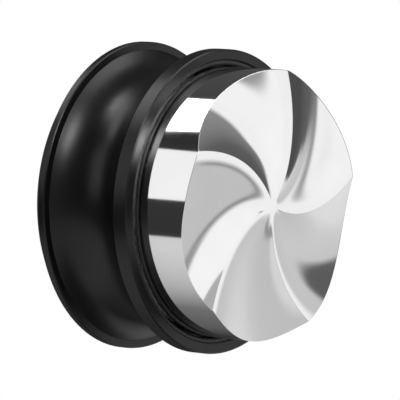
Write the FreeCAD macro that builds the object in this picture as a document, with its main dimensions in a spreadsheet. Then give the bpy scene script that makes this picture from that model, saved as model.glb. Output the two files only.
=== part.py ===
import FreeCAD, Part
import math
import os
import Sketcher

# Palm distributor for 58 mm coffee baskets.
# Millimetres, +Z up. The origin is on the axis, at the height of the blades' lowest lines,
# so the part stands on the plane Z = 0 with its cap on top.

document = FreeCAD.newDocument("palm_distributor")

# ---------------------------------------------------------------------------------------------
# Driving dimensions. Every height is measured from the plane that the blades stand on.
# ---------------------------------------------------------------------------------------------

DIMENSIONS = {
    # steel base
    "base_radius": 29.25,
    "base_top": 14.6,
    "base_edge_break": 0.3,
    "blank_margin": 1.0,
    "counterbore_radius": 20.05,
    "counterbore_floor": 11.6,
    "screw_hole_floor": 4.0,
    "screw_hole_radius": 3.0,
    "blade_count": 5,
    "blade_depth": 2.35,
    "blade_depth_power": 1.25,
    "blade_land_radius": 1.2,
    "blade_sweep_angle": 36.5,
    "blade_sweep_share": 0.82,
    # grip
    "flange_radius": 33.0,
    "flange_bottom": 13.75,
    "flange_top": 17.45,
    "edge_break": 0.25,
    "waist_bottom_radius": 32.4,
    "waist_top_radius": 32.0,
    "waist_arc_radius": 11.3,
    "grip_top": 35.7,
    "mouth_radius": 30.6,
    "mouth_ceiling": 17.4,
    "web_bore_radius": 15.02,
    "pocket_radius": 20.2,
    "pocket_floor": 24.0,
    "spigot_bore_radius": 25.05,
    "spigot_bore_floor": 32.65,
    "seal_groove_radius": 28.5,
    "seal_groove_half_width": 1.0,
    "seal_groove_depth": 1.3,
    "seal_section_radius": 0.65,
    "keyway_reach": 22.2,
    "keyway_width": 4.4,
    # cap
    "cap_face_radius": 31.05,
    "cap_radius": 33.7,
    "cap_cone_bottom": 37.25,
    "cap_top": 39.85,
    "cap_ceiling": 36.65,
    "cap_edge_break": 0.2,
    "spigot_radius": 25.0,
    "spigot_inner_radius": 22.4,
    "spigot_bottom": 32.7,
    "mark_depth": 0.15,
    "mark_width": 0.7,
    "mark_height": 2.6,
    "mark_span": 12.0,
    "mark_bars": 5,
    # rings in the mouth of the grip
    "guide_inner_radius": 29.6,
    "guide_outer_radius": 30.58,
    "guide_bottom": 14.25,
    "guide_edge_break": 0.35,
    "thrust_inner_radius": 22.0,
    "thrust_outer_radius": 28.0,
    "thrust_bottom": 16.9,
    # threaded insert and its screws
    "insert_radius": 15.0,
    "thread_radius": 12.0,
    "thread_lead_in": 0.5,
    "insert_flange_radius": 20.0,
    "insert_top": 26.0,
    "friction_low": 19.6,
    "friction_high": 22.6,
    "friction_section_radius": 0.75,
    "friction_groove_half_width": 0.8,
    "insert_screw_circle": 17.5,
    "insert_screw_count": 4,
    "insert_screw_radius": 1.25,
    "insert_screw_head_radius": 2.3,
    "insert_screw_head_height": 1.05,
    "insert_screw_socket_radius": 0.8,
    "insert_screw_socket_depth": 0.9,
    "insert_screw_end": 19.0,
    "screw_clearance": 0.05,
    # threaded stem
    "carrier_radius": 20.0,
    "carrier_hole_radius": 3.2,
    "stem_radius": 11.95,
    "stem_bore_radius": 6.5,
    "stem_floor": 15.0,
    "stem_edge_break": 0.3,
    "journal_radius": 10.0,
    "journal_bottom": 27.45,
    "stem_top": 30.5,
    "ring_groove_radius": 9.2,
    "ring_groove_bottom": 28.75,
    "ring_groove_top": 29.8,
    # stop washer and snap ring
    "washer_bottom": 27.5,
    "washer_top": 28.7,
    "washer_radius": 19.7,
    "washer_bore_radius": 10.05,
    "tongue_reach": 21.7,
    "tongue_width": 4.0,
    "snap_ring_inner_radius": 9.25,
    "snap_ring_outer_radius": 12.0,
    "snap_ring_bottom": 28.76,
    "snap_ring_top": 29.74,
    "snap_ring_angle": 330.0,
    # centre screw and its washer
    "lock_washer_top": 16.5,
    "lock_washer_radius": 5.6,
    "lock_washer_bore_radius": 3.1,
    "screw_radius": 2.95,
    "screw_head_radius": 5.0,
    "screw_head_top": 22.5,
    "screw_end": 4.6,
    "socket_circle_radius": 2.9,
    "socket_depth": 3.0,
    # drive pins
    "pin_radius": 2.0,
    "pin_hole_radius": 2.02,
    "pin_circle": 16.0,
    "pin_hole_floor": 8.5,
    "pin_bottom": 8.6,
    "pin_top": 14.3,
}

sheet = document.addObject("Spreadsheet::Sheet", "dims")
for row, (alias, number) in enumerate(DIMENSIONS.items(), start=1):
    sheet.set(f"A{row}", alias)
    sheet.set(f"B{row}", str(number))
    sheet.setAlias(f"B{row}", alias)
document.recompute()


def size(name):
    """A driving dimension, read back from its cell."""
    return float(sheet.get(name))


def measure(words):
    """Value of a sum such as "cap_radius - edge_break", and the same sum as a cell expression."""
    value = 0.0
    sign = 1.0
    expression = []
    for word in words.split():
        if word in "+-":
            sign = 1.0 if word == "+" else -1.0
            expression.append(word)
        else:
            value += sign * size(word)
            expression.append("dims." + word)
    return value, " ".join(expression)


# ---------------------------------------------------------------------------------------------
# Sketch helpers
# ---------------------------------------------------------------------------------------------

ORIGIN = -1
HORIZONTAL_AXIS = -1
VERTICAL_AXIS = -2
START = 1
END = 2
CENTRE = 3
NEAR = 1e-6
UP = FreeCAD.Vector(0, 0, 1)


def origin_feature(body, role):
    """One of the body's own origin planes or axes."""
    return next(item for item in body.Origin.OriginFeatures if item.Role == role)


def new_body(label):
    """An empty body whose label names the sub-part; it may hold separate solids."""
    body = document.addObject("PartDesign::Body", label)
    body.Label = label
    body.AllowCompound = True
    return body


def new_sketch(body, name, plane="XZ_Plane"):
    """A sketch on one of the body's own planes."""
    sketch = body.newObject("Sketcher::SketchObject", name)
    sketch.AttachmentSupport = (origin_feature(body, plane), [""])
    sketch.MapMode = "FlatFace"
    return sketch


def tie(sketch, kind, places, words):
    """A dimension whose value follows the sheet."""
    value, expression = measure(words)
    index = sketch.addConstraint(Sketcher.Constraint(kind, *places, value))
    sketch.setExpression(f"Constraints[{index}]", expression)


def place_point(sketch, edge, end, across, along):
    """Puts a point at two sheet distances from the sketch's origin; None puts it on that axis."""
    if across:
        tie(sketch, "DistanceX", (ORIGIN, START, edge, end), across)
    else:
        sketch.addConstraint(Sketcher.Constraint("PointOnObject", edge, end, VERTICAL_AXIS))
    if along:
        tie(sketch, "DistanceY", (ORIGIN, START, edge, end), along)
    else:
        sketch.addConstraint(Sketcher.Constraint("PointOnObject", edge, end, HORIZONTAL_AXIS))


def hollow_arc(start, end, radius):
    """The arc between two points whose middle is pulled towards the part's axis.

    A sketch stores its arcs anticlockwise, so this one runs from its upper end to its lower end.
    """
    upper, lower = (start, end) if start.y > end.y else (end, start)
    chord = upper - lower
    outward = FreeCAD.Vector(chord.y, -chord.x, 0).normalize()
    rise = math.sqrt(radius**2 - (chord.Length / 2) ** 2)
    centre = (upper + lower) * 0.5 + outward * rise
    first = math.atan2(upper.y - centre.y, upper.x - centre.x)
    last = math.atan2(lower.y - centre.y, lower.x - centre.x) + 2 * math.pi
    return Part.ArcOfCircle(Part.Circle(centre, UP, radius), first, last)


def outline(sketch, corners):
    """A closed outline. A corner is (radius, height) in sheet names, and a third name is the
    radius of the hollow arc that leaves the corner."""
    points = []
    for corner in corners:
        across = measure(corner[0])[0] if corner[0] else 0.0
        along = measure(corner[1])[0] if corner[1] else 0.0
        points.append(FreeCAD.Vector(across, along, 0))
    edges = []
    for index, corner in enumerate(corners):
        start = points[index]
        end = points[(index + 1) % len(points)]
        is_arc = len(corner) == 3
        shape = hollow_arc(start, end, measure(corner[2])[0]) if is_arc else Part.LineSegment(start, end)
        edge = sketch.addGeometry(shape, False)
        # an arc that is walked upwards starts at its stored end
        kept = sketch.Geometry[edge].StartPoint.distanceToPoint(start) < NEAR
        edges.append((edge, START, END) if kept else (edge, END, START))
    for index, corner in enumerate(corners):
        edge, first, last = edges[index]
        following, following_first, _ = edges[(index + 1) % len(edges)]
        sketch.addConstraint(Sketcher.Constraint("Coincident", edge, last, following, following_first))
        place_point(sketch, edge, first, corner[0], corner[1])
        if len(corner) == 3:
            tie(sketch, "Radius", (edge,), corner[2])


def centred_circle(sketch, radius):
    """A circle about the sketch's origin."""
    index = sketch.addGeometry(Part.Circle(FreeCAD.Vector(), UP, size(radius)), False)
    tie(sketch, "Radius", (index,), radius)
    sketch.addConstraint(Sketcher.Constraint("Coincident", index, CENTRE, ORIGIN, START))


def centred_bar(sketch, length, width):
    """A rectangle about the sketch's origin, its length along X."""
    half_length = measure(length)[0] / 2
    half_width = measure(width)[0] / 2
    signs = [(-1, -1), (1, -1), (1, 1), (-1, 1)]
    corners = [FreeCAD.Vector(x * half_length, y * half_width, 0) for x, y in signs]
    edges = []
    for index, corner in enumerate(corners):
        edges.append(sketch.addGeometry(Part.LineSegment(corner, corners[(index + 1) % 4]), False))
    for index, edge in enumerate(edges):
        sketch.addConstraint(Sketcher.Constraint("Coincident", edge, END, edges[(index + 1) % 4], START))
        sketch.addConstraint(Sketcher.Constraint("Vertical" if index % 2 else "Horizontal", edge))
    sketch.addConstraint(Sketcher.Constraint("Symmetric", edges[0], START, edges[2], START, ORIGIN, START))
    tie(sketch, "DistanceX", (edges[0], START, edges[0], END), length)
    tie(sketch, "DistanceY", (edges[1], START, edges[1], END), width)


# ---------------------------------------------------------------------------------------------
# Feature helpers
# ---------------------------------------------------------------------------------------------


def turn(body, corners, kind="Revolution"):
    """A turned feature about the part's axis: Revolution adds material, Groove takes it away."""
    sketch = new_sketch(body, body.Label + "_outline")
    outline(sketch, corners)
    feature = body.newObject("PartDesign::" + kind, body.Label + "_turned")
    feature.Profile = sketch
    feature.ReferenceAxis = (sketch, ["V_Axis"])
    feature.Angle = 360
    return feature


def turned(label, corners):
    """A sub-part that is turned from one outline."""
    body = new_body(label)
    turn(body, corners)
    return body


def turn_on_circle(body, name, circle, count, corners, kind):
    """The same small turned feature at even steps round the part's axis. The outline starts on
    the small feature's own axis, which stands at the named radius."""
    sketch = new_sketch(body, name + "_outline")
    outline(sketch, corners)
    low = FreeCAD.Vector(size(circle), 0, 0)
    high = FreeCAD.Vector(size(circle), size("cap_top"), 0)
    axis = sketch.addGeometry(Part.LineSegment(low, high), True)
    place_point(sketch, axis, START, circle, None)
    place_point(sketch, axis, END, circle, "cap_top")
    feature = body.newObject("PartDesign::" + kind, name)
    feature.Profile = sketch
    feature.ReferenceAxis = (sketch, ["Axis0"])
    feature.Angle = 360
    document.recompute()
    pattern = body.newObject("PartDesign::PolarPattern", name + "_pattern")
    pattern.Originals = [feature]
    pattern.Axis = (origin_feature(body, "Z_Axis"), [""])
    pattern.Angle = 360
    if isinstance(count, str):
        pattern.setExpression("Occurrences", "dims." + count)
    else:
        pattern.Occurrences = count
    body.Tip = pattern
    return pattern


def lift(sketch, words):
    """Moves a level sketch up to a sheet height."""
    sketch.setExpression("AttachmentOffset.Base.z", measure(words)[1])


def pad(body, name, sketch, length):
    """Material from the sketch upwards."""
    feature = body.newObject("PartDesign::Pad", name)
    feature.Profile = sketch
    feature.setExpression("Length", measure(length)[1])
    return feature


def pocket_upwards(body, name, sketch, length):
    """Material taken away from the sketch upwards."""
    feature = body.newObject("PartDesign::Pocket", name)
    feature.Profile = sketch
    feature.Reversed = True
    feature.setExpression("Length", measure(length)[1])
    return feature


def cylinder(name, radius, bottom, top, across=None):
    """A plain upright cylinder, bound to the sheet."""
    item = document.addObject("Part::Cylinder", name)
    item.setExpression("Radius", "dims." + radius)
    item.setExpression("Height", measure(top + " - " + bottom)[1])
    item.setExpression("Placement.Base.z", "dims." + bottom)
    if across:
        item.setExpression("Placement.Base.x", across)
    return item


def ring(name, radius, section, height):
    """An O-ring, bound to the sheet."""
    item = document.addObject("Part::Torus", name)
    item.Label = name
    item.setExpression("Radius1", radius)
    item.setExpression("Radius2", "dims." + section)
    item.setExpression("Placement.Base.z", height)
    return item


# ---------------------------------------------------------------------------------------------
# Steel base with its swirl of blades
# ---------------------------------------------------------------------------------------------

BLADE_STATIONS_OUT = 18
BLADE_STATIONS_ROUND = 13
CUBIC_PEAK = 4 / 27
MEAN_OVER_PEAK = 9 / 16
CUTTER_DROP = 4.0
CREST_TOLERANCE = 0.001
VOLUME_TOLERANCE = 0.5


def blade_point(radius, share):
    """A point of one blade. share runs from 0 on the blade's crest to 1 on the next crest.

    The height is depth * share^2 * (1 - share) / (4 / 27): level as it leaves its own crest, and
    steep where it meets the next one, so the crest between two blades is a crease. The depth
    grows from nothing at the middle. The crest leans back as it nears the middle.
    """
    land = size("blade_land_radius")
    rim = size("base_radius")
    inward = 1 - radius / rim
    depth = size("blade_depth") * ((radius - land) / (rim - land)) ** size("blade_depth_power")
    height = depth * share**2 * (1 - share) / CUBIC_PEAK
    lean = size("blade_sweep_share") * inward + (1 - size("blade_sweep_share")) * inward**2
    angle = math.radians(size("blade_sweep_angle") * lean - share * 360 / size("blade_count"))
    return FreeCAD.Vector(radius * math.cos(angle), radius * math.sin(angle), height)


def blade_cutters():
    """Everything below the blades: a solid under each blade and one under the middle."""
    inner = size("blade_land_radius")
    outer = size("base_radius") + size("blank_margin")
    radii = [inner + (outer - inner) * i / (BLADE_STATIONS_OUT - 1) for i in range(BLADE_STATIONS_OUT)]
    shares = [j / (BLADE_STATIONS_ROUND - 1) for j in range(BLADE_STATIONS_ROUND)]
    surface = Part.BSplineSurface()
    surface.interpolate([[blade_point(radius, share) for share in shares] for radius in radii])
    below = surface.toShape().extrude(UP * -CUTTER_DROP)
    solids = [Part.makeCylinder(inner, CUTTER_DROP, UP * -CUTTER_DROP)]
    for index in range(int(size("blade_count"))):
        solid = below.copy()
        solid.rotate(FreeCAD.Vector(), UP, index * 360 / size("blade_count"))
        solids.append(solid)
    return solids


def hollow_volume():
    """What the blades take out of a flat-ended blank: the blade's height summed over the face.

    Round the axis the height averages 9/16 of the depth. Along the radius the depth is a power of
    the distance from the land, so the sum has a closed form.
    """
    land = size("blade_land_radius")
    reach = size("base_radius") - land
    power = size("blade_depth_power")
    along = reach * (reach / (power + 2) + land / (power + 1))
    return 2 * math.pi * MEAN_OVER_PEAK * size("blade_depth") * along


def bladed_disc():
    """A plain disc with its blades. Neighbouring cutters meet on a crest, so the cut has a tolerance."""
    disc = Part.makeCylinder(size("base_radius"), size("base_top"))
    bladed = document.addObject("Part::Feature", "bladed_disc")
    bladed.Shape = disc.cut(blade_cutters(), CREST_TOLERANCE)
    removed = disc.Volume - bladed.Shape.Volume
    print(f"blades remove {removed:.2f} mm3, by formula {hollow_volume():.2f} mm3")
    if abs(removed - hollow_volume()) > VOLUME_TOLERANCE:
        raise RuntimeError("a blade is missing from the base")
    return bladed


def fan_base():
    """Bladed disc, less the stem's seat, the screw and pin holes and the broken upper edge."""
    seat = turned(
        "base_seat",
        [
            (None, "screw_hole_floor"),
            ("screw_hole_radius", "screw_hole_floor"),
            ("screw_hole_radius", "counterbore_floor"),
            ("counterbore_radius", "counterbore_floor"),
            ("counterbore_radius", "base_top"),
            (None, "base_top"),
        ],
    )
    edge = turned(
        "base_edge",
        [
            ("base_radius", "base_top - base_edge_break"),
            ("base_radius", "base_top"),
            ("base_radius - base_edge_break", "base_top"),
        ],
    )
    pin_holes = []
    for name, across in (("pin_hole_a", "dims.pin_circle"), ("pin_hole_b", "-dims.pin_circle")):
        pin_holes.append(cylinder(name, "pin_hole_radius", "pin_hole_floor", "base_top", across))
    tools = document.addObject("Part::MultiFuse", "base_tools")
    tools.Shapes = [seat, edge, *pin_holes]
    base = document.addObject("Part::Cut", "fan_base")
    base.Label = "fan_base"
    base.Base = bladed_disc()
    base.Tool = tools
    return base


# ---------------------------------------------------------------------------------------------
# Stem, its screw and its pins
# ---------------------------------------------------------------------------------------------


def carrier():
    """Flanged stem that carries the depth thread on its outside."""
    body = turned(
        "carrier",
        [
            ("carrier_hole_radius", "counterbore_floor"),
            ("carrier_radius", "counterbore_floor"),
            ("carrier_radius", "base_top - stem_edge_break"),
            ("carrier_radius - stem_edge_break", "base_top"),
            ("stem_radius", "base_top"),
            ("stem_radius", "journal_bottom - stem_edge_break"),
            ("stem_radius - stem_edge_break", "journal_bottom"),
            ("journal_radius", "journal_bottom"),
            ("journal_radius", "ring_groove_bottom"),
            ("ring_groove_radius", "ring_groove_bottom"),
            ("ring_groove_radius", "ring_groove_top"),
            ("journal_radius", "ring_groove_top"),
            ("journal_radius", "stem_top - stem_edge_break"),
            ("journal_radius - stem_edge_break", "stem_top"),
            ("stem_bore_radius", "stem_top"),
            ("stem_bore_radius", "stem_floor"),
            ("carrier_hole_radius", "stem_floor"),
        ],
    )
    turn_on_circle(
        body,
        "carrier_pin_holes",
        "pin_circle",
        2,
        [
            ("pin_circle", "counterbore_floor"),
            ("pin_circle + pin_hole_radius", "counterbore_floor"),
            ("pin_circle + pin_hole_radius", "base_top"),
            ("pin_circle", "base_top"),
        ],
        "Groove",
    )
    return body


def centre_screw():
    """Socket-head screw that pulls the stem into the base."""
    head = cylinder("centre_screw_head", "screw_head_radius", "lock_washer_top", "screw_head_top")
    shank = cylinder("centre_screw_shank", "screw_radius", "screw_end", "lock_washer_top")
    blank = document.addObject("Part::Fuse", "centre_screw_blank")
    blank.Base = head
    blank.Tool = shank
    socket = document.addObject("Part::Prism", "centre_screw_socket")
    socket.Polygon = 6
    socket.setExpression("Circumradius", "dims.socket_circle_radius")
    socket.setExpression("Height", "dims.socket_depth")
    socket.setExpression("Placement.Base.z", "dims.screw_head_top - dims.socket_depth")
    screw = document.addObject("Part::Cut", "centre_screw")
    screw.Label = "centre_screw"
    screw.Base = blank
    screw.Tool = socket
    return screw


def lock_washer():
    """Washer under the screw's head."""
    return turned(
        "lock_washer",
        [
            ("lock_washer_bore_radius", "stem_floor"),
            ("lock_washer_radius", "stem_floor"),
            ("lock_washer_radius", "lock_washer_top"),
            ("lock_washer_bore_radius", "lock_washer_top"),
        ],
    )


def drive_pins():
    """Two dowels that carry the turning load from the base to the stem."""
    pins = []
    for name, across in (("drive_pin_a", "dims.pin_circle"), ("drive_pin_b", "-dims.pin_circle")):
        pins.append(cylinder(name, "pin_radius", "pin_bottom", "pin_top", across))
    pair = document.addObject("Part::Compound", "drive_pins")
    pair.Label = "drive_pins"
    pair.Links = pins
    return pair


def stem_circlip():
    """Open snap ring above the stop washer."""
    body = new_body("stem_circlip")
    corners = [
        ("snap_ring_inner_radius", "snap_ring_bottom"),
        ("snap_ring_outer_radius", "snap_ring_bottom"),
        ("snap_ring_outer_radius", "snap_ring_top"),
        ("snap_ring_inner_radius", "snap_ring_top"),
    ]
    feature = turn(body, corners)
    feature.setExpression("Angle", "dims.snap_ring_angle")
    return body


def stop_washer():
    """Washer on the stem's journal, with two tongues that slide in the grip's keyways."""
    body = new_body("stop_washer")
    disc = new_sketch(body, "washer_disc", "XY_Plane")
    lift(disc, "washer_bottom")
    centred_circle(disc, "washer_radius")
    pad(body, "washer_plate", disc, "washer_top - washer_bottom")
    tongues = new_sketch(body, "washer_tongues", "XY_Plane")
    lift(tongues, "washer_bottom")
    centred_bar(tongues, "tongue_reach + tongue_reach", "tongue_width")
    pad(body, "washer_tongue_plate", tongues, "washer_top - washer_bottom")
    bore = new_sketch(body, "washer_bore", "XY_Plane")
    lift(bore, "washer_bottom")
    centred_circle(bore, "washer_bore_radius")
    document.recompute()
    pocket_upwards(body, "washer_bore_cut", bore, "washer_top - washer_bottom")
    return body


# ---------------------------------------------------------------------------------------------
# Handle
# ---------------------------------------------------------------------------------------------


def grip_body():
    """Spool with a flange that rests on the basket's rim, and a hollow waist."""
    body = turned(
        "grip_body",
        [
            ("mouth_radius + edge_break", "flange_bottom"),
            ("flange_radius - edge_break", "flange_bottom"),
            ("flange_radius", "flange_bottom + edge_break"),
            ("flange_radius", "flange_top - edge_break"),
            ("flange_radius - edge_break", "flange_top"),
            ("waist_bottom_radius", "flange_top", "waist_arc_radius"),
            ("waist_top_radius", "grip_top"),
            ("seal_groove_radius + seal_groove_half_width", "grip_top"),
            ("seal_groove_radius + seal_groove_half_width", "grip_top - seal_groove_depth"),
            ("seal_groove_radius - seal_groove_half_width", "grip_top - seal_groove_depth"),
            ("seal_groove_radius - seal_groove_half_width", "grip_top"),
            ("spigot_bore_radius", "grip_top"),
            ("spigot_bore_radius", "spigot_bore_floor"),
            ("pocket_radius", "spigot_bore_floor"),
            ("pocket_radius", "pocket_floor"),
            ("web_bore_radius", "pocket_floor"),
            ("web_bore_radius", "mouth_ceiling"),
            ("mouth_radius", "mouth_ceiling"),
            ("mouth_radius", "flange_bottom + edge_break"),
        ],
    )
    turn_on_circle(
        body,
        "insert_screw_holes",
        "insert_screw_circle",
        "insert_screw_count",
        [
            ("insert_screw_circle", "insert_screw_end - edge_break"),
            ("insert_screw_circle + insert_screw_radius + screw_clearance", "insert_screw_end - edge_break"),
            ("insert_screw_circle + insert_screw_radius + screw_clearance", "pocket_floor"),
            ("insert_screw_circle", "pocket_floor"),
        ],
        "Groove",
    )
    document.recompute()
    keyways = new_sketch(body, "keyways", "XY_Plane")
    lift(keyways, "insert_top")
    centred_bar(keyways, "keyway_reach + keyway_reach", "keyway_width")
    pocket_upwards(body, "keyways_cut", keyways, "spigot_bore_floor - insert_top")
    return body


def mark_bars(body, feature, name):
    """Repeats the first bar of the mark along the cap."""
    pattern = body.newObject("PartDesign::LinearPattern", name)
    pattern.Originals = [feature]
    pattern.Direction = (origin_feature(body, "Y_Axis"), [""])
    pattern.setExpression("Length", "dims.mark_span")
    pattern.setExpression("Occurrences", "dims.mark_bars")
    body.Tip = pattern


def first_mark_bar(body, name):
    """Sketch of the mark's first bar, at the floor of the engraving."""
    sketch = new_sketch(body, name, "XY_Plane")
    lift(sketch, "cap_top - mark_depth")
    sketch.setExpression("AttachmentOffset.Base.y", "-dims.mark_span / 2")
    centred_bar(sketch, "mark_height", "mark_width")
    return sketch


def palm_cap():
    """Disc that the palm rests on. Its spigot screws into the grip."""
    body = turned(
        "palm_cap",
        [
            (None, "cap_ceiling"),
            ("spigot_inner_radius", "cap_ceiling"),
            ("spigot_inner_radius", "spigot_bottom"),
            ("spigot_radius - edge_break", "spigot_bottom"),
            ("spigot_radius", "spigot_bottom + edge_break"),
            ("spigot_radius", "grip_top"),
            ("cap_radius - cap_edge_break", "grip_top"),
            ("cap_radius", "grip_top + cap_edge_break"),
            ("cap_radius", "cap_cone_bottom"),
            ("cap_face_radius + cap_edge_break", "cap_top - cap_edge_break"),
            ("cap_face_radius", "cap_top"),
            (None, "cap_top"),
        ],
    )
    document.recompute()
    sketch = first_mark_bar(body, "engraving")
    cut = pocket_upwards(body, "engraving_cut", sketch, "mark_depth")
    document.recompute()
    mark_bars(body, cut, "engraving_bars")
    return body


def cap_mark():
    """Paint in the engraving, a plain row of bars."""
    body = new_body("cap_mark")
    sketch = first_mark_bar(body, "paint")
    fill = pad(body, "paint_fill", sketch, "mark_depth")
    document.recompute()
    mark_bars(body, fill, "paint_bars")
    return body


def cap_seal():
    """O-ring that keeps water out of the joint under the cap."""
    height = "dims.grip_top - dims.seal_groove_depth + dims.seal_section_radius"
    return ring("cap_seal", "dims.seal_groove_radius", "seal_section_radius", height)


def guide_ring():
    """Nylon ring just inside the grip's mouth, round the steel base."""
    return turned(
        "guide_ring",
        [
            ("guide_inner_radius + guide_edge_break", "guide_bottom"),
            ("guide_outer_radius", "guide_bottom"),
            ("guide_outer_radius", "mouth_ceiling"),
            ("guide_inner_radius", "mouth_ceiling"),
            ("guide_inner_radius", "guide_bottom + guide_edge_break"),
        ],
    )


def thrust_washer():
    """Thin washer that the base meets when it is wound right in."""
    return turned(
        "thrust_washer",
        [
            ("thrust_inner_radius", "thrust_bottom"),
            ("thrust_outer_radius", "thrust_bottom"),
            ("thrust_outer_radius", "mouth_ceiling"),
            ("thrust_inner_radius", "mouth_ceiling"),
        ],
    )


def thread_insert():
    """Flanged nut with the depth thread, and two grooves for the friction rings."""
    grooves = []
    for height in ("friction_high", "friction_low"):
        grooves += [
            ("thread_radius", height + " + friction_groove_half_width"),
            ("thread_radius + friction_section_radius + friction_section_radius",
             height + " + friction_groove_half_width"),
            ("thread_radius + friction_section_radius + friction_section_radius",
             height + " - friction_groove_half_width"),
            ("thread_radius", height + " - friction_groove_half_width"),
        ]
    body = turned(
        "thread_insert",
        [
            ("thread_radius + thread_lead_in", "mouth_ceiling"),
            ("insert_radius", "mouth_ceiling"),
            ("insert_radius", "pocket_floor"),
            ("insert_flange_radius", "pocket_floor"),
            ("insert_flange_radius", "insert_top"),
            ("thread_radius + thread_lead_in", "insert_top"),
            ("thread_radius", "insert_top - thread_lead_in"),
            *grooves,
            ("thread_radius", "mouth_ceiling + thread_lead_in"),
        ],
    )
    turn_on_circle(
        body,
        "countersinks",
        "insert_screw_circle",
        "insert_screw_count",
        [
            ("insert_screw_circle", "pocket_floor"),
            ("insert_screw_circle + insert_screw_radius + screw_clearance", "pocket_floor"),
            (
                "insert_screw_circle + insert_screw_radius + screw_clearance",
                "insert_top - insert_screw_head_height",
            ),
            ("insert_screw_circle + insert_screw_head_radius + screw_clearance", "insert_top"),
            ("insert_screw_circle", "insert_top"),
        ],
        "Groove",
    )
    return body


def insert_screws():
    """Countersunk screws that hold the insert in the grip."""
    body = new_body("insert_screws")
    turn_on_circle(
        body,
        "insert_screw",
        "insert_screw_circle",
        "insert_screw_count",
        [
            ("insert_screw_circle", "insert_screw_end"),
            ("insert_screw_circle + insert_screw_radius", "insert_screw_end"),
            ("insert_screw_circle + insert_screw_radius", "insert_top - insert_screw_head_height"),
            ("insert_screw_circle + insert_screw_head_radius", "insert_top"),
            ("insert_screw_circle + insert_screw_socket_radius", "insert_top"),
            ("insert_screw_circle + insert_screw_socket_radius", "insert_top - insert_screw_socket_depth"),
            ("insert_screw_circle", "insert_top - insert_screw_socket_depth"),
        ],
        "Revolution",
    )
    return body


def friction_rings():
    """Two O-rings that rub on the stem and hold the depth that was set."""
    radius = "dims.thread_radius + dims.friction_section_radius"
    rings = []
    for name in ("friction_low", "friction_high"):
        rings.append(ring(name + "_ring", radius, "friction_section_radius", "dims." + name))
    pair = document.addObject("Part::Compound", "friction_rings")
    pair.Label = "friction_rings"
    pair.Links = rings
    return pair


SUB_PARTS = [
    palm_cap(),
    cap_mark(),
    cap_seal(),
    grip_body(),
    guide_ring(),
    thrust_washer(),
    thread_insert(),
    insert_screws(),
    friction_rings(),
    stop_washer(),
    fan_base(),
    carrier(),
    centre_screw(),
    lock_washer(),
    drive_pins(),
    stem_circlip(),
]
document.recompute()

# ---------------------------------------------------------------------------------------------
# Checks, then one file for each sub-part
# ---------------------------------------------------------------------------------------------

for item in document.Objects:
    if "Invalid" in item.State or "Error" in item.State:
        raise RuntimeError(f"{item.Label} failed: {item.State}")

os.makedirs("parts", exist_ok=True)
for item in SUB_PARTS:
    shape = item.Shape
    if shape.isNull() or not shape.isValid():
        raise RuntimeError(f"{item.Label} has no valid shape")
    box = shape.BoundBox
    print(
        f"{item.Label:16s} solids {len(shape.Solids)}  volume {shape.Volume:10.2f} mm3"
        f"  z {box.ZMin:6.2f} to {box.ZMax:6.2f}  radius {box.XMax:6.2f}"
    )
    shape.exportStep(f"parts/{item.Label}.step")
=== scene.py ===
# %% [markdown]
# # A palm distributor for ground coffee
#
# The tool levels ground coffee in a 58 mm basket. A black spool-shaped handle ends in a flared
# cap for the palm, and a mirror-polished steel base carries five curved blades. The base winds
# in and out of the handle on a fine thread, which sets how deep the blades reach.
#
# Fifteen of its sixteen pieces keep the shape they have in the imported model. The bladed base is
# worked out again as a finer mesh, because a mirror shows every flat triangle. The rest is
# finishes, light and camera, so the lesson is mostly about two surfaces that are hard to show
# well: a mirror, which shows only what stands around it, and a satin black, which shows only
# soft highlights.

# %% Load the frame
import math

import bpy
import numpy as np
from mathutils import Matrix, Vector


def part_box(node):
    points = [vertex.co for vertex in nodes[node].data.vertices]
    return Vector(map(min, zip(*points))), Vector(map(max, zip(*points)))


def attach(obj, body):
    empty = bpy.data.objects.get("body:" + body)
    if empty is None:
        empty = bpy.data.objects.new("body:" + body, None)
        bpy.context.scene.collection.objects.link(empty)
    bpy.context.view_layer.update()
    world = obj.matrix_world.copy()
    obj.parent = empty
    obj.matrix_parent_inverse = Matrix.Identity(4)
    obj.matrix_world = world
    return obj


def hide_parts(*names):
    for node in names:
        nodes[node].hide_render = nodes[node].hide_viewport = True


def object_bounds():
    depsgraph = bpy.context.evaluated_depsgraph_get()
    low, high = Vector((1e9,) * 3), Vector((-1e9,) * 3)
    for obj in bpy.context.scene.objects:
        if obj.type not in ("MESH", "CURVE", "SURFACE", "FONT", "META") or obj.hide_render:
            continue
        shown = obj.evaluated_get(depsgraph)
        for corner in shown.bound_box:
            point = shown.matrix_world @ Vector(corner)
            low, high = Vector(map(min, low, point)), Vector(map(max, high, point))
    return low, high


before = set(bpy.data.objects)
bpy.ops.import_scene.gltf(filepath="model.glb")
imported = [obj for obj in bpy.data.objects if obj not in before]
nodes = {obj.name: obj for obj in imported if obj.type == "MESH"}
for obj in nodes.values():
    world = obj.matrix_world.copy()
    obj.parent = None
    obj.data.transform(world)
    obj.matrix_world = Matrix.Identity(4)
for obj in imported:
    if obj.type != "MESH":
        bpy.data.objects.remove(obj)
bpy.context.view_layer.update()
low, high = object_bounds()
print("pieces:", ", ".join(sorted(nodes)))

# %% [markdown]
# ## Where the tool is
#
# The model stands on its blades with its axis upright. The camera, the lamps and the patterns
# are all placed from the box round the tool and from the boxes of its own pieces, so nothing
# has to be moved by hand if a size changes. All sizes are in metres.

centre = (low + high) / 2
span = (high - low).length

# %% [markdown]
# ## The camera
#
# The tool is seen from below and to one side, as when it is picked up and turned over to show
# its blades, with its axis almost level across the picture. A long lens far away keeps the
# round edges from looking stretched. A camera has a direction, a distance and a roll, and
# setting them as three numbers makes each one easy to change alone.

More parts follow.
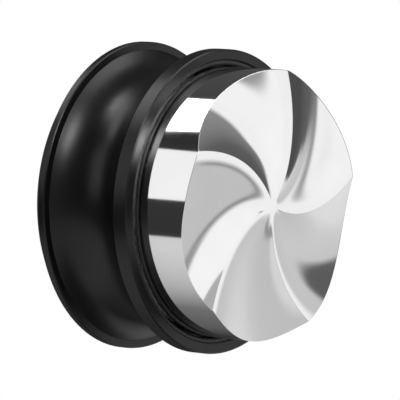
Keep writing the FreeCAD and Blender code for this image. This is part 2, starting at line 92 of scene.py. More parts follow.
# %% Camera
VIEW_AZIMUTH = math.radians(-164.14)
VIEW_ELEVATION = math.radians(-37.91)
CAMERA_ROLL = math.radians(85.2)
CAMERA_DISTANCE = 0.831
FRAME_FILL = 0.84
CLIP_PARTS = 100


def unit_direction(azimuth, elevation):
    """A unit vector: azimuth is measured from +X towards +Y, elevation up from the floor."""
    level = math.cos(elevation)
    return Vector((level * math.cos(azimuth), level * math.sin(azimuth), math.sin(elevation)))


backward = unit_direction(VIEW_AZIMUTH, VIEW_ELEVATION)
level_right = Vector((0, 0, 1)).cross(backward).normalized()
level_up = backward.cross(level_right)
picture_up = level_up * math.cos(CAMERA_ROLL) + level_right * math.sin(CAMERA_ROLL)
picture_right = picture_up.cross(backward)
forward = -backward

camera_data = bpy.data.cameras.new("camera")
camera_data.lens = camera_data.sensor_width * CAMERA_DISTANCE / (span * FRAME_FILL)
camera_data.clip_start = CAMERA_DISTANCE / CLIP_PARTS
camera = bpy.data.objects.new("camera", camera_data)
camera.matrix_world = Matrix.Translation(centre + backward * CAMERA_DISTANCE) @ Matrix(
    (picture_right, picture_up, backward)
).transposed().to_4x4()
bpy.context.scene.collection.objects.link(camera)
bpy.context.scene.camera = camera
bpy.context.scene.view_settings.view_transform = "Standard"

# %% [markdown]
# ## Building node trees
#
# A finish is a tree of nodes. Three small helpers keep each tree short: one adds a node and
# fills its sockets, one joins two sockets, and one does arithmetic. A value that varies over
# the surface arrives as a socket, and a value that is the same everywhere is typed straight
# into the shader.


# %% Node helpers
def add_node(tree, kind, settings=None, **sockets):
    """Adds a node of that kind, sets its properties, and fills the named input sockets."""
    node = tree.nodes.new(kind)
    for name, value in (settings or {}).items():
        setattr(node, name, value)
    for name, value in sockets.items():
        feed(tree, node.inputs[name.replace("_", " ")], value)
    return node


def feed(tree, socket, value):
    """Links an output to a socket, or types a plain value into it."""
    if isinstance(value, bpy.types.NodeSocket):
        tree.links.new(value, socket)
    else:
        socket.default_value = value


def calculate(tree, operation, *values):
    """One arithmetic node: operation is what it does to its two or three values."""
    node = tree.nodes.new("ShaderNodeMath")
    node.operation = operation
    for socket, value in zip(node.inputs, values):
        feed(tree, socket, value)
    return node.outputs[0]


def stretch(tree, value, start, end, to_start=0.0, to_end=1.0):
    """Maps a value from one range to another along a straight line, and stops at both ends."""
    sockets = {"From Min": start, "From Max": end, "To Min": to_start, "To Max": to_end}
    node = add_node(tree, "ShaderNodeMapRange", Value=value)
    for name, amount in sockets.items():
        feed(tree, node.inputs[name], amount)
    return node.outputs[0]


# The Mix node has sockets for every kind of data. These are the places of the colour ones.
MIX_AMOUNT, MIX_FIRST, MIX_SECOND, MIX_RESULT = 0, 6, 7, 2


def blend_colours(tree, amount, first, second):
    """Mixes two colours: amount 0 gives the first and 1 the second."""
    node = add_node(tree, "ShaderNodeMix", {"data_type": "RGBA"})
    feed(tree, node.inputs[MIX_AMOUNT], amount)
    feed(tree, node.inputs[MIX_FIRST], first)
    feed(tree, node.inputs[MIX_SECOND], second)
    return node.outputs[MIX_RESULT]


def grey(level):
    """A neutral colour of that brightness."""
    return (level, level, level, 1.0)


# %% [markdown]
# ## The room
#
# A mirror has no look of its own, so the room is part of the finish. Behind the tool is a dark
# backdrop, and below it a pale table that is bright at both sides and dim in the middle. A
# picture could be wrapped round the scene instead, but a formula of the direction is smaller
# and can be tuned. The camera sees a plain white where it sees past everything.
#
# The direction is split along the camera's own right, up and forward vectors, which are fixed
# numbers by now, so the room stays still when the tool is seen from another side. Two angles
# then name every direction: across is 0 straight behind the tool, -90 to the left and 90 to the
# right, and upward is the height over the camera's horizon.

# %% Room directions
world = bpy.data.worlds.new("room")
bpy.context.scene.world = world
world.use_nodes = True
room = world.node_tree
room.nodes.clear()
direction = add_node(room, "ShaderNodeTexCoord").outputs["Generated"]


def part_along(axis):
    """How far the direction points along an axis, from -1 to 1."""
    node = add_node(room, "ShaderNodeVectorMath", {"operation": "DOT_PRODUCT"})
    feed(room, node.inputs[0], direction)
    feed(room, node.inputs[1], tuple(axis))
    return node.outputs["Value"]


room_axes = (picture_right, picture_up, forward)
rightness, upness, forwardness = (part_along(axis) for axis in room_axes)
turned = calculate(room, "ARCTAN2", rightness, forwardness)
across_angle = calculate(room, "DEGREES", turned)
upward_angle = calculate(room, "DEGREES", calculate(room, "ARCSINE", upness))

# %% [markdown]
# The backdrop and the table change slowly from side to side. Each is a short list of stops, an
# across angle with its brightness, joined by straight lines. The table's far edge is a list of
# the same kind, with a height in degrees in place of the brightness.

# %% Backdrop and table
HALF_TURN = 180.0
TABLE_EDGE_BLUR = 0.5
BACKDROP_GLOW = [
    (-180, 0.1), (-120, 0.05), (-90, 0.03), (-44, 0.06), (0, 0.08), (52, 0.085),
    (62, 0.12), (68, 0.13), (76, 0.25), (84, 0.33), (118, 0.5), (138, 0.5), (152, 0.12),
    (180, 0.1),
]
TABLE_GLOW = [
    (-180, 0.7), (-95, 0.74), (-66, 0.5), (-38, 0.19), (-13, 0.12), (-1, 0.02), (20, 0.5),
    (33, 0.86), (57, 0.86), (64, 0.7), (72, 0.64), (90, 0.63), (97, 0.8), (110, 0.8), (180, 0.7),
]
TABLE_EDGE = [
    (-180, -20), (-90, -21), (-58, -19), (0, -14), (38, -10.5), (50, -6.5), (58, -5), (62, -0.5),
    (66, 0.4), (68, 1.6), (72.5, 2.2), (74.5, -9.4), (84, -10.1), (104, -10.8), (180, -20),
]


def along_the_room(stops, scale=1.0):
    """A value that follows straight lines between its stops, from left to right.

    A curve node works from 0 to 1, so angles and levels are squeezed into that range first, and
    the result is spread out again. scale is the largest level that fits, with either sign.
    """
    share = stretch(room, across_angle, -HALF_TURN, HALF_TURN)
    ramp = add_node(room, "ShaderNodeFloatCurve", Value=share)
    curve = ramp.mapping.curves[0]
    while len(curve.points) < len(stops):
        curve.points.new(0.5, 0.5)
    for point, (place, level) in zip(curve.points, stops):
        point.location = ((place / HALF_TURN + 1) / 2, (level / scale + 1) / 2)
        point.handle_type = "VECTOR"
    ramp.mapping.update()
    return stretch(room, ramp.outputs[0], 0.0, 1.0, -scale, scale)


below = calculate(room, "SUBTRACT", along_the_room(TABLE_EDGE, HALF_TURN / 2), upward_angle)
table_share = stretch(room, below, -TABLE_EDGE_BLUR, TABLE_EDGE_BLUR)
backdrop, table = along_the_room(BACKDROP_GLOW), along_the_room(TABLE_GLOW)
surroundings = blend_colours(room, table_share, backdrop, table)

# %% [markdown]
# On the right stand white cards. A card is lit unevenly towards its edges, so its reflection
# fades out instead of ending at a line. Each is a patch of angles with a blur at its edges,
# laid over the room behind it. The first patch is not a card but the dark front of the table,
# and the last is a dim card high up, which fills in what the steel shows from other sides.


# %% White cards
def within(angle, limits, blur):
    """1 between the two limits and 0 outside them, with a straight ramp of that half width."""
    rise = stretch(room, angle, limits[0] - blur, limits[0] + blur)
    fall = stretch(room, angle, limits[1] - blur, limits[1] + blur, 1.0, 0.0)
    return calculate(room, "MULTIPLY", rise, fall)


# Each row is the across limits, the upward limits, the blur and the brightness.
cards = [
    ((40, 180), (-90, -42), 4.0, 0.05),
    ((71.5, 86), (-8.2, 1.8), 0.9, 1.06),
    ((76, 86), (-2, 4.8), 0.9, 1.08),
    ((84.3, 115), (-7.8, 30), 0.5, 1.1),
    ((86, 150), (32, 44), 3.0, 0.7),
]
for across, upward, blur, brightness in cards:
    patch = calculate(
        room, "MULTIPLY", within(across_angle, across, blur), within(upward_angle, upward, blur)
    )
    surroundings = blend_colours(room, patch, surroundings, grey(brightness))
seen = add_node(room, "ShaderNodeLightPath").outputs["Is Camera Ray"]
shown = blend_colours(room, seen, surroundings, grey(1.0))
background = add_node(room, "ShaderNodeBackground", Color=shown, Strength=1.0)
add_node(room, "ShaderNodeOutputWorld", Surface=background.outputs[0])
print("the room has", len(room.nodes), "nodes and", len(cards), "cards")

# %% [markdown]
# ## The lamps
#
# Product light is large, soft and close. Each lamp is a flat panel that faces the tool, and its
# edges show as clean lines in the steel and as soft bars on the black. Where a panel stands is
# given by two angles from the camera's line of sight, across and up, and so is its size,
# because a reflection depends on direction. The gaps between panels matter as much as the
# panels: they are the dark stripes that make steel look like steel. The last lamp hangs over
# the tool and four times as far away. It lights the floor and the top of the cap, and the main
# camera shows neither. It is hidden from mirror rays, or the flat cap would show it whole and
# look grey from above.


# %% Lamp helper
LAMP_DISTANCE = 0.6
CEILING_DISTANCE = 2.4


def softbox(name, across, upward, brightness, distance=LAMP_DISTANCE):
    """A panel that fills an angle of view as seen from the tool.

    across and upward are (from, to) in degrees. across is 0 straight behind the tool, -90 to
    the left and 90 to the right; upward is height over the camera's horizon. brightness is the
    panel's radiance, so 1 looks white in a perfect mirror, and its power is pi times the radiance
    times its area. distance is how far it stands from the middle of the tool, in metres.
    """
    turn, lift = (math.radians(sum(pair) / 2) for pair in (across, upward))
    toward = (
        picture_right * (math.sin(turn) * math.cos(lift))
        + picture_up * math.sin(lift)
        + forward * (math.cos(turn) * math.cos(lift))
    )
    half_width, half_height = (math.radians(pair[1] - pair[0]) / 2 for pair in (across, upward))
    data = bpy.data.lights.new(name, "AREA")
    data.shape = "RECTANGLE"
    data.size = 2 * distance * math.tan(half_width) * math.cos(lift)
    data.size_y = 2 * distance * math.tan(half_height)
    data.energy = brightness * math.pi * data.size * data.size_y
    side = (forward * math.sin(turn) - picture_right * math.cos(turn)).normalized()
    panel_up = toward.cross(side)
    lamp = bpy.data.objects.new(name, data)
    lamp.matrix_world = Matrix.Translation(centre + toward * distance) @ Matrix(
        (side, panel_up, toward)
    ).transposed().to_4x4()
    lamp.visible_camera = False
    bpy.context.scene.collection.objects.link(lamp)
    return lamp


# %% Lamps
lamps = [
    softbox("high_left_inner", (-60, -44), (38.4, 75), 2.4),
    softbox("high_left_outer", (-92, -61), (38.4, 75), 2.8),
    softbox("low_left", (-122, -91), (3, 36.1), 1.03),
    softbox("overhead", (-100, -84), (64, 76), 14.0),
    softbox("high_right", (60, 132), (45, 70), 2.6),
    softbox("behind_camera", (158, 176), (24, 42), 16.0),
    softbox("above", (-72, -28), (-19, 25), 3.6, distance=CEILING_DISTANCE),
]
overhead_fill = lamps[-1]
overhead_fill.visible_glossy = False
print("lamps:", ", ".join(lamp.name for lamp in lamps))

# %% [markdown]
# ## The floor
#
# The tool stands on a plain pale floor. The main camera looks up from below it, so the floor
# shows only from above: where a ray meets its underside, the material lets it through. The
# blades would otherwise reflect nothing but the dark gap between them and the floor, so the
# floor is hidden from mirror rays, and the blades show the room below. For the same reason it
# casts no shadow: lamps that stand lower than the tool light it through the floor. Far from the
# tool it fades into the white behind it, so that no horizon line crosses the picture. The fade
# starts and ends at a number of tool diagonals from the middle.

# %% Floor
FLOOR_RADIUS = 40 * span
FLOOR_SIDES = 96
FADE_START = 0.9
FADE_END = 6.0
FLOOR_TONES = (0.80, 0.84)

around = np.linspace(0, 2 * np.pi, FLOOR_SIDES, endpoint=False)
rim = np.column_stack([np.cos(around), np.sin(around), np.zeros(FLOOR_SIDES)]) * FLOOR_RADIUS
rim[:, 2] = low.z
floor_mesh = bpy.data.meshes.new("floor")
floor_mesh.from_pydata(rim.tolist(), [], [list(range(FLOOR_SIDES))])
floor = bpy.data.objects.new("floor", floor_mesh)
bpy.context.scene.collection.objects.link(floor)
floor.visible_glossy = False
floor.visible_shadow = False

floor_paint = bpy.data.materials.new("floor_paint")
floor_paint.use_nodes = True
tree = floor_paint.node_tree
tree.nodes.clear()
place = add_node(tree, "ShaderNodeTexCoord").outputs["Object"]
mottle = add_node(tree, "ShaderNodeTexNoise", Vector=place, Scale=9.0, Detail=4.0).outputs["Fac"]
pale = blend_colours(tree, mottle, *(grey(tone) for tone in FLOOR_TONES))
paint = add_node(tree, "ShaderNodeBsdfPrincipled", Base_Color=pale, Roughness=0.7)
clear = add_node(tree, "ShaderNodeBsdfTransparent")
underside = add_node(tree, "ShaderNodeNewGeometry").outputs["Backfacing"]
away = add_node(tree, "ShaderNodeVectorMath", {"operation": "LENGTH"})
feed(tree, away.inputs[0], place)
faded = stretch(tree, away.outputs["Value"], FADE_START * span, FADE_END * span)
unseen = calculate(tree, "MAXIMUM", underside, faded)
one_sided = add_node(tree, "ShaderNodeMixShader", Fac=unseen)
tree.links.new(paint.outputs[0], one_sided.inputs[1])
tree.links.new(clear.outputs[0], one_sided.inputs[2])
add_node(tree, "ShaderNodeOutputMaterial", Surface=one_sided.outputs[0])
floor_mesh.materials.append(floor_paint)
print("floor", round(2 * FLOOR_RADIUS, 2), "m across")

# %% [markdown]
# ## Effects that several finishes share
#
# Four effects come up again and again: a fine grain, a slow drift of colour, the rings that a
# lathe leaves, and worn edges. Each is a node group with named inputs, built once and placed
# in every material that needs it with that material's own numbers.


# %% Group helper
def make_group(name, inputs, outputs):
    """An empty shader group. inputs are (name, kind, default), and outputs are (name, kind)."""
    group = bpy.data.node_groups.new(name, "ShaderNodeTree")
    for label, kind, default in inputs:
        socket = group.interface.new_socket(label, in_out="INPUT", socket_type=kind)
        if default is not None:
            socket.default_value = default
    for label, kind in outputs:
        group.interface.new_socket(label, in_out="OUTPUT", socket_type=kind)
    entry = group.nodes.new("NodeGroupInput")
    leave = group.nodes.new("NodeGroupOutput")
    return group, entry.outputs, leave.inputs


VALUE, COLOUR, VECTOR = "NodeSocketFloat", "NodeSocketColor", "NodeSocketVector"

# %% [markdown]
# **Grain** is fine random relief, as bead blasting or a mould's texture leaves. Noise at two
# scales is better than one: the fine one gives the sparkle and the coarse one stops it from
# looking printed.

# %% Grain group
COARSE_SCALE = 0.22
COARSE_WEIGHT = 0.4
GRAIN_RANGE = (0.35, 1.05)

grain_group, given, result = make_group(
    "grain",
    [("Place", VECTOR, None), ("Grains per Metre", VALUE, 8000.0)],
    [("Height", VALUE)],
)
fine = add_node(grain_group, "ShaderNodeTexNoise", Vector=given[0], Scale=given[1], Detail=3.0)
wider = calculate(grain_group, "MULTIPLY", given[1], COARSE_SCALE)
coarse = add_node(grain_group, "ShaderNodeTexNoise", Vector=given[0], Scale=wider, Detail=2.0)
both = calculate(
    grain_group, "MULTIPLY_ADD", coarse.outputs["Fac"], COARSE_WEIGHT, fine.outputs["Fac"]
)
feed(grain_group, result[0], stretch(grain_group, both, *GRAIN_RANGE))

# %% [markdown]
# **Drift** is the slow change of tone over a real surface, from dye, handling or casting. It
# mixes two close colours by a soft, large noise.

# %% Drift group
DRIFT_RANGE = (0.3, 0.7)

drift_group, given, result = make_group(
    "drift",
    [
        ("Place", VECTOR, None),
        ("Patches per Metre", VALUE, 60.0),
        ("First", COLOUR, grey(0.5)),
        ("Second", COLOUR, grey(0.5)),
    ],
    [("Colour", COLOUR), ("Mask", VALUE)],
)
patches = add_node(drift_group, "ShaderNodeTexNoise", Vector=given[0], Scale=given[1], Detail=5.0)
mask = stretch(drift_group, patches.outputs["Fac"], *DRIFT_RANGE)
feed(drift_group, result[0], blend_colours(drift_group, mask, given[2], given[3]))
feed(drift_group, result[1], mask)

# %% [markdown]
# **Turning rings** are what a lathe leaves: lines that run round the axis. Everything here is
# turned about the same upright axis, so the distance from that axis plus the height names each
# ring, and noise along that one number gives rings of uneven depth.

# %% Turning group
turning_group, given, result = make_group(
    "turning_rings",
    [("Place", VECTOR, None), ("Rings per Metre", VALUE, 9000.0)],
    [("Height", VALUE)],
)
parts = add_node(turning_group, "ShaderNodeSeparateXYZ", Vector=given[0]).outputs
squares = calculate(turning_group, "MULTIPLY", parts["X"], parts["X"])
squares = calculate(turning_group, "MULTIPLY_ADD", parts["Y"], parts["Y"], squares)
ring = calculate(turning_group, "ADD", calculate(turning_group, "SQRT", squares), parts["Z"])
ring = calculate(turning_group, "MULTIPLY", ring, given[1])
one_number = {"noise_dimensions": "1D"}
lines = add_node(turning_group, "ShaderNodeTexNoise", one_number, W=ring, Scale=1.0)
feed(turning_group, result[0], lines.outputs["Fac"])

# %% [markdown]
# **Edge wear** finds the edges by comparing two normals: the surface's own and one rounded over
# a small radius. They differ only near an edge. A noise breaks the line up, because handling
# never wears an edge evenly.

# %% Wear group
WEAR_SAMPLES = 6
EDGE_MATCH = (0.99, 0.9)
WEAR_BREAKS = (0.35, 0.6)

wear_group, given, result = make_group(
    "edge_wear",
    [("Place", VECTOR, None), ("Reach", VALUE, 0.0003), ("Breaks per Metre", VALUE, 400.0)],
    [("Mask", VALUE)],
)
bevel = add_node(wear_group, "ShaderNodeBevel", {"samples": WEAR_SAMPLES}, Radius=given[1])
rounded = bevel.outputs["Normal"]
own = add_node(wear_group, "ShaderNodeNewGeometry").outputs["Normal"]
match = add_node(wear_group, "ShaderNodeVectorMath", {"operation": "DOT_PRODUCT"})
feed(wear_group, match.inputs[0], rounded)
feed(wear_group, match.inputs[1], own)
near_edge = stretch(wear_group, match.outputs["Value"], *EDGE_MATCH)
broken = add_node(wear_group, "ShaderNodeTexNoise", Vector=given[0], Scale=given[2], Detail=4.0)
kept = stretch(wear_group, broken.outputs["Fac"], *WEAR_BREAKS)
feed(wear_group, result[0], calculate(wear_group, "MULTIPLY", near_edge, kept))
print("groups:", ", ".join(group.name for group in bpy.data.node_groups))

# %% [markdown]
# ## Starting a finish
#
# Every finish needs the same start: an empty material, a place for the pattern, and the groups
# above set in with numbers of its own. After that, each finish is its own short function.


# %% Finish helpers
BEVEL_SAMPLES = 8


def start_finish(name):
    """An empty material: gives the material, its tree and the place on the piece."""
    material = bpy.data.materials.new(name)
    material.use_nodes = True
    tree = material.node_tree
    tree.nodes.clear()
    place = add_node(tree, "ShaderNodeTexCoord").outputs["Object"]
    return material, tree, place


def use_group(tree, group, place, **numbers):
    """Places a shared effect in a material and gives its outputs."""
    node = tree.nodes.new("ShaderNodeGroup")
    node.node_tree = group
    feed(tree, node.inputs["Place"], place)
    for name, value in numbers.items():
        feed(tree, node.inputs[name.replace("_", " ")], value)
    return node.outputs


def soft_edges(tree, radius):
    """A normal that turns smoothly over each edge, as if the edge were rounded by that radius."""
    bevel = add_node(tree, "ShaderNodeBevel", {"samples": BEVEL_SAMPLES}, Radius=radius)
    return bevel.outputs["Normal"]


def relief(tree, height, depth, normal):
    """A Bump node over a normal: depth is how tall the relief is, in metres."""
    bump = add_node(tree, "ShaderNodeBump", Height=height, Distance=depth, Normal=normal)
    return bump.outputs["Normal"]


def end_finish(tree, **sockets):
    """Adds the shader with its sockets filled, and the output."""
    shader = add_node(tree, "ShaderNodeBsdfPrincipled", **sockets)
    add_node(tree, "ShaderNodeOutputMaterial", Surface=shader.outputs[0])
    return shader


# %% [markdown]
# ## Black anodised aluminium
#
# The cap and the grip are turned from aluminium bar, bead blasted and anodised black. The dye
# sits in a thin clear oxide, so the surface is a deep black with a satin sheen and almost no
# texture at arm's length. It could be a metal with a dark colour, but then the highlights would
# turn black too, so it is a dark body under a colourless gloss, as the oxide really is.


# %% Black anodised aluminium
BARE_EDGE = 0.16
WORN_SHARE = 0.1
SATIN_ROUGHNESS = (0.27, 0.36)
DYE_ROUGHNESS = 0.03
BLAST_DEPTH = 0.0000035
ANODISED_ROUNDING = 0.00015


def black_anodised():
    material, tree, place = start_finish("black_anodised")
    dye = use_group(
        tree,
        drift_group,
        place,
        Patches_per_Metre=90.0,
        First=(0.0018, 0.0018, 0.0019, 1),
        Second=(0.0030, 0.0030, 0.0031, 1),
    )
    worn = use_group(tree, wear_group, place, Reach=0.00022, Breaks_per_Metre=260.0)["Mask"]
    blast = use_group(tree, grain_group, place, Grains_per_Metre=9000.0)["Height"]
    bared = calculate(tree, "MULTIPLY", worn, WORN_SHARE)
    colour = blend_colours(tree, bared, dye["Colour"], grey(BARE_EDGE))
    rough = stretch(tree, blast, 0.0, 1.0, *SATIN_ROUGHNESS)
    rough = calculate(tree, "MULTIPLY_ADD", dye["Mask"], DYE_ROUGHNESS, rough)
    end_finish(
        tree,
        Base_Color=colour,
        Roughness=rough,
        IOR=1.42,
        Normal=relief(tree, blast, BLAST_DEPTH, soft_edges(tree, ANODISED_ROUNDING)),
    )
    return material


# %% [markdown]
# ## Mirror-polished steel
#
# The base is stainless steel, polished until it reflects like a mirror. A perfect mirror looks
# false, so the finish keeps what a polishing wheel really leaves: a faint haze that comes and
# goes, and hairlines too fine to see singly.


# %% Mirror-polished steel
POLISH_HAZE = (0.045, 0.085)
HAIRLINE_DEPTH = 0.0000001
POLISHED_ROUNDING = 0.00022


def polished_steel():
    material, tree, place = start_finish("polished_steel")
    tone = use_group(
        tree,
        drift_group,
        place,
        Patches_per_Metre=70.0,
        First=(0.79, 0.79, 0.79, 1),
        Second=(0.83, 0.83, 0.825, 1),
    )
    haze = stretch(tree, tone["Mask"], 0.0, 1.0, *POLISH_HAZE)
    hairlines = use_group(tree, turning_group, place, Rings_per_Metre=14000.0)["Height"]
    end_finish(
        tree,
        Base_Color=tone["Colour"],
        Metallic=1.0,
        Roughness=haze,
        Normal=relief(tree, hairlines, HAIRLINE_DEPTH, soft_edges(tree, POLISHED_ROUNDING)),
    )
    return material


# %% [markdown]
# ## Turned and treated steels
#
# Inside are steels nobody polished. The insert, the stem and the pins are as the lathe left
# them, bright with fine rings. The screws are blackened in hot salts, and the spring parts are
# phosphated, a grey and slightly rough coat that holds oil. One function makes all three,
# because only the colours and the numbers differ.


# %% Plain steels
GRIT_WEIGHT = 0.25
SMALL_ROUNDING = 0.0001


def plain_steel(name, first, second, metallic, low_rough, high_rough, ring_depth, worn_colour):
    """Steel with lathe rings: its roughness drifts between two values, and its edges are worn."""
    material, tree, place = start_finish(name)
    tone = use_group(tree, drift_group, place, Patches_per_Metre=160.0, First=first, Second=second)
    worn = use_group(tree, wear_group, place, Reach=0.0002, Breaks_per_Metre=700.0)["Mask"]
    rings = use_group(tree, turning_group, place, Rings_per_Metre=7000.0)["Height"]
    grit = use_group(tree, grain_group, place, Grains_per_Metre=12000.0)["Height"]
    height = calculate(tree, "MULTIPLY_ADD", grit, GRIT_WEIGHT, rings)
    end_finish(
        tree,
        Base_Color=blend_colours(tree, worn, tone["Colour"], worn_colour),
        Metallic=metallic,
        Roughness=stretch(tree, tone["Mask"], 0.0, 1.0, low_rough, high_rough),
        Normal=relief(tree, height, ring_depth, soft_edges(tree, SMALL_ROUNDING)),
    )
    return material


# %% [markdown]
# ## Rubber, nylon, acetal and paint
#
# The seals are black rubber, matt and faintly dusty. The guide ring is moulded black nylon with
# a little more shine, the thrust washer is white acetal, and the bars on the cap are pale paint
# in a shallow engraving. All four are plain bodies with a fine grain, so they share a function
# and differ in colour, shine and grain.


# %% Soft and moulded finishes
RUBBED_SHARE = 0.03
RUBBED_TONE = 0.9


def moulded(name, first, second, low_rough, high_rough, grain_depth, sheen=0.0):
    """A non-metal: two tones that drift, a grain, edges rubbed a little lighter."""
    material, tree, place = start_finish(name)
    tone = use_group(tree, drift_group, place, Patches_per_Metre=220.0, First=first, Second=second)
    rubbed = use_group(tree, wear_group, place, Reach=0.00015, Breaks_per_Metre=900.0)["Mask"]
    grit = use_group(tree, grain_group, place, Grains_per_Metre=10000.0)["Height"]
    lighter = blend_colours(tree, RUBBED_SHARE, tone["Colour"], grey(RUBBED_TONE))
    shader = end_finish(
        tree,
        Base_Color=blend_colours(tree, rubbed, tone["Colour"], lighter),
        Roughness=stretch(tree, grit, 0.0, 1.0, low_rough, high_rough),
        Normal=relief(tree, grit, grain_depth, soft_edges(tree, SMALL_ROUNDING)),
    )
    shader.inputs["Sheen Weight"].default_value = sheen
    return material


# %% [markdown]
# ## The bladed base
#
# The base is a round steel block whose end is milled into five curved blades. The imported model
# has this shape, but as flat triangles, and a mirror shows every one of them.
# A finer copy is worked out here from the same formula. Modifiers could smooth the old mesh,
# but they would only guess at the shape between its points.
#
# A blade is a function of two numbers: how far out a point is, and its share of the way from
# one crest to the next. The height leaves a crest level, swells, and drops steeply to the next
# crest, and the product of a square and a straight line does just that. The crests lean back as
# they near the middle, which makes the swirl.

# %% Blade formula
BLADES = 5
BLADE_DEPTH = 0.00235
DEPTH_GROWTH = 1.25
LAND_RADIUS = 0.0012
SWEEP = math.radians(36.5)
EVEN_SWEEP = 0.82
CUBIC_PEAK = 4 / 27

base_low, base_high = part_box("fan_base")
base_radius = (base_high.x - base_low.x) / 2


def blade_height(radius, share):
    """Depth times share squared times (1 - share), over its own peak. Depth grows outwards."""
    reach = (radius - LAND_RADIUS) / (base_radius - LAND_RADIUS)
    depth = BLADE_DEPTH * np.clip(reach, 0, None) ** DEPTH_GROWTH
    return depth * share**2 * (1 - share) / CUBIC_PEAK


def crest_angle(radius):
    """How far a crest has leaned back at that radius: part even, part faster near the middle."""
    inward = 1 - radius / base_radius
    return SWEEP * (EVEN_SWEEP * inward + (1 - EVEN_SWEEP) * inward**2)


# %% [markdown]
# The whole base is one closed skin: the blades from the middle out to the rim, then the wall up
# to the broken upper edge, across the top, down into the seat for the stem, and down the screw
# hole. Each of these is a ring of points, and every ring has the same number of points, so one
# rule joins them all. Where the faces of the skin meet at more than a few degrees the edge is
# kept sharp. The volume of the skin, summed over its faces, is positive only if they all look
# outwards.

# %% Skin helper
SHARP_ANGLE = math.radians(5)


def closed_skin(name, rings, first_pole, last_pole):
    """A mesh object from rings of points (ring, point, xyz), closed by a pole at each end.

    Its volume is a sixth of the sum, over all triangles, of one corner's dot product with the
    cross product of the other two.
    """
    count, sides = rings.shape[:2]
    points = np.vstack([rings.reshape(-1, 3), [first_pole, last_pole]])
    index = np.arange(count * sides).reshape(count, sides)
    following = np.roll(index, -1, axis=1)
    walls = np.stack([index[:-1], index[1:], following[1:], following[:-1]], axis=-1)
    walls = walls.reshape(-1, 4)
    start = np.stack([np.full(sides, count * sides), index[0], following[0]], axis=-1)
    end = np.stack([np.full(sides, count * sides + 1), following[-1], index[-1]], axis=-1)
    faces = [*walls.tolist(), *start.tolist(), *end.tolist()]
    corners = np.vstack([walls[:, [0, 1, 2]], walls[:, [0, 2, 3]], start, end])
    a, b, c = (points[corners[:, i]] for i in range(3))
    volume = np.einsum("ij,ij->i", a, np.cross(b, c)).sum() / 6
    if volume < 0:
        faces = [face[::-1] for face in faces]
    mesh = bpy.data.meshes.new(name)
    mesh.from_pydata(points.tolist(), [], faces)
    mesh.shade_smooth()
    mesh.set_sharp_from_angle(angle=SHARP_ANGLE)
    skin = bpy.data.objects.new(name, mesh)
    bpy.context.scene.collection.objects.link(skin)
    return skin


# %% Bladed base
SHARES = 72
STATIONS = 96
UPPER_EDGE_BREAK = 0.0003
SEAT_CLEARANCE = 0.00005
SCREW_HOLE_RADIUS = 0.003
SCREW_HOLE_SPARE = 0.0006

seat_low, seat_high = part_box("carrier")
seat_radius = seat_high.x + SEAT_CLEARANCE
hole_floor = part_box("centre_screw")[0].z - SCREW_HOLE_SPARE
along = np.arange(BLADES * SHARES) / SHARES
turn = -along * 2 * np.pi / BLADES
radii = np.linspace(LAND_RADIUS, base_radius, STATIONS)[:, None]
upper = [
    (base_radius, base_high.z - UPPER_EDGE_BREAK),
    (base_radius - UPPER_EDGE_BREAK, base_high.z),
    (seat_radius, base_high.z),
    (seat_radius, seat_low.z),
    (SCREW_HOLE_RADIUS, seat_low.z),
    (SCREW_HOLE_RADIUS, hole_floor),
]


def ring_points(radius, angle, height):
    """Rings of points from their radius, angle and height, which spread to the same shape."""
    radius, angle, height = np.broadcast_arrays(radius, angle, height)
    return np.stack([radius * np.cos(angle), radius * np.sin(angle), height], axis=-1)


face_rings = ring_points(radii, turn + crest_angle(radii), blade_height(radii, along % 1))
upper_rings = np.array([ring_points(radius, turn, height) for radius, height in upper])
bladed_base = closed_skin(
    "bladed_base",
    np.concatenate([face_rings, upper_rings]),
    (0, 0, base_low.z),
    (0, 0, hole_floor),
)

# %% [markdown]
# Two blind holes for the drive pins open into the floor of the seat. A hole off the axis breaks
# the rings, so it is cut afterwards: a Boolean modifier takes a closed cylinder away from the
# skin, and the result is kept as the mesh.

# %% Pin holes
PIN_HOLE_SPARE = 0.00002
PIN_DEPTH_SPARE = 0.0001
PIN_HOLE_SIDES = 48
pin_low, pin_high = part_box("drive_pins")
pin_radius = pin_high.y
pin_circle = pin_high.x - pin_radius
pin_around = np.arange(PIN_HOLE_SIDES) * 2 * np.pi / PIN_HOLE_SIDES
pin_ends = (pin_low.z - PIN_DEPTH_SPARE, pin_high.z)
for side in (-1, 1):
    shift = np.array([side * pin_circle, 0, 0])
    rings = np.array([ring_points(pin_radius + PIN_HOLE_SPARE, pin_around, z) for z in pin_ends])
    poles = [tuple(shift + (0, 0, z)) for z in pin_ends]
    tool = closed_skin("pin_hole_tool", rings + shift, *poles)
    cut = bladed_base.modifiers.new("pin_hole", "BOOLEAN")
    cut.operation = "DIFFERENCE"
    cut.object = tool
    ready = bladed_base.evaluated_get(bpy.context.evaluated_depsgraph_get())
    drilled = bpy.data.meshes.new_from_object(ready)
    bladed_base.modifiers.clear()
    bladed_base.data = drilled
    bpy.data.objects.remove(tool)
bladed_base.data.set_sharp_from_angle(angle=SHARP_ANGLE)
print("base after drilling:", len(bladed_base.data.polygons), "faces")
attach(bladed_base, "base")
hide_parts("fan_base")

# %% [markdown]
# ## Dressing the pieces
#
# Every other piece keeps its mesh, and only its material changes. A dictionary from finish to
# pieces reads like a parts list, and the check after it catches a piece with none. The new base
# takes the finish of the piece it replaces.

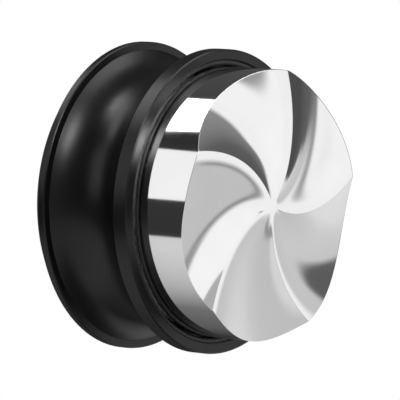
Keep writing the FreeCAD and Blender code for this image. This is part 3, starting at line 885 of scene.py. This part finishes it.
# %% Finishes and their pieces
turned_steel = plain_steel(
    "turned_steel",
    first=(0.50, 0.50, 0.49, 1),
    second=(0.58, 0.58, 0.57, 1),
    metallic=1.0,
    low_rough=0.22,
    high_rough=0.34,
    ring_depth=0.000002,
    worn_colour=grey(0.72),
)
blackened_steel = plain_steel(
    "blackened_steel",
    first=(0.03, 0.03, 0.034, 1),
    second=(0.05, 0.05, 0.052, 1),
    metallic=0.6,
    low_rough=0.32,
    high_rough=0.45,
    ring_depth=0.000001,
    worn_colour=grey(0.25),
)
phosphated_steel = plain_steel(
    "phosphated_steel",
    first=(0.10, 0.10, 0.105, 1),
    second=(0.15, 0.15, 0.15, 1),
    metallic=0.7,
    low_rough=0.42,
    high_rough=0.55,
    ring_depth=0.000002,
    worn_colour=grey(0.38),
)
seal_rubber = moulded(
    "seal_rubber",
    first=(0.010, 0.010, 0.011, 1),
    second=(0.018, 0.018, 0.018, 1),
    low_rough=0.62,
    high_rough=0.80,
    grain_depth=0.000006,
    sheen=0.15,
)
guide_nylon = moulded(
    "guide_nylon",
    first=(0.012, 0.012, 0.013, 1),
    second=(0.020, 0.020, 0.021, 1),
    low_rough=0.40,
    high_rough=0.52,
    grain_depth=0.000004,
)
washer_acetal = moulded(
    "washer_acetal",
    first=(0.78, 0.77, 0.73, 1),
    second=(0.84, 0.83, 0.80, 1),
    low_rough=0.34,
    high_rough=0.46,
    grain_depth=0.000003,
)
mark_paint = moulded(
    "mark_paint",
    first=(0.74, 0.74, 0.73, 1),
    second=(0.82, 0.82, 0.81, 1),
    low_rough=0.45,
    high_rough=0.60,
    grain_depth=0.000004,
)
finish_of = {
    black_anodised(): ["palm_cap", "grip_body"],
    polished_steel(): ["fan_base"],
    turned_steel: ["thread_insert", "carrier", "drive_pins"],
    blackened_steel: ["insert_screws", "centre_screw"],
    phosphated_steel: ["stop_washer", "stem_circlip", "lock_washer"],
    seal_rubber: ["cap_seal", "friction_rings"],
    guide_nylon: ["guide_ring"],
    washer_acetal: ["thrust_washer"],
    mark_paint: ["cap_mark"],
}
for material, names in finish_of.items():
    for name in names:
        nodes[name].data.materials.clear()
        nodes[name].data.materials.append(material)
bladed_base.data.materials.append(nodes["fan_base"].data.materials[0])
dressed = sorted(name for names in finish_of.values() for name in names)
assert dressed == sorted(nodes), "a piece has no finish"
print("dressed", len(dressed), "pieces")
